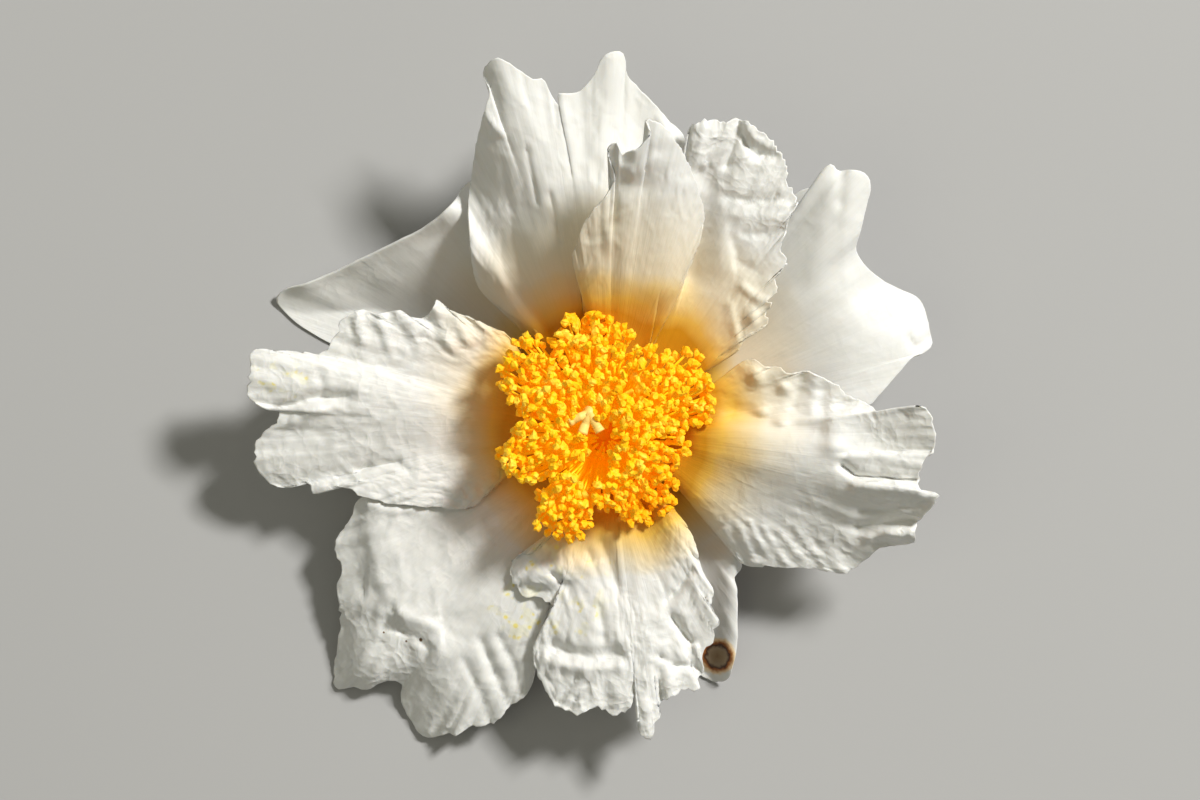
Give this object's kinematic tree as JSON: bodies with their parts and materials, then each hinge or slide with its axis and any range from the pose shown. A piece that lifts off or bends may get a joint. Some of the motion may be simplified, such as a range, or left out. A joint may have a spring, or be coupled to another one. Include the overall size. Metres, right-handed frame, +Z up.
{
  "type": "camellia flower",
  "caption": "Open ruffled white camellia bloom with a boss of yellow stamens, picked and laid face up on its petal tips.",
  "frame": {"origin": "on the surface that the flower lies on, under the middle of the bloom's bounding box", "axes": "+Z up, out of the open bloom's face; +Y towards the tall back petals; +X to the right of them"},
  "size_m": [0.092, 0.0918, 0.0345],
  "materials": {
    "petal_white": "matt white petal, warm at the throat, finely wrinkled",
    "stamen_yellow": "powdery yellow anthers on orange filaments",
    "style_cream": "smooth pale cream style",
    "sepal_brown": "silky green-brown scale",
    "stalk_green": "green stalk with a pale fresh cut"
  },
  "bodies": {
    "root": {"receptacle": "stalk_green", "sepal_1": "sepal_brown", "sepal_2": "sepal_brown", "sepal_3": "sepal_brown", "sepal_4": "sepal_brown", "sepal_5": "sepal_brown", "petal_upper_left": "petal_white", "petal_bottom_left": "petal_white", "petal_bottom_right": "petal_white", "petal_right": "petal_white", "petal_top_back": "petal_white", "petal_upper_right": "petal_white", "petal_top_front": "petal_white", "petal_right_front": "petal_white", "petal_bottom_front": "petal_white", "petal_left": "petal_white", "pistil": "style_cream", "stamens": "stamen_yellow"}
  },
  "joints": []
}
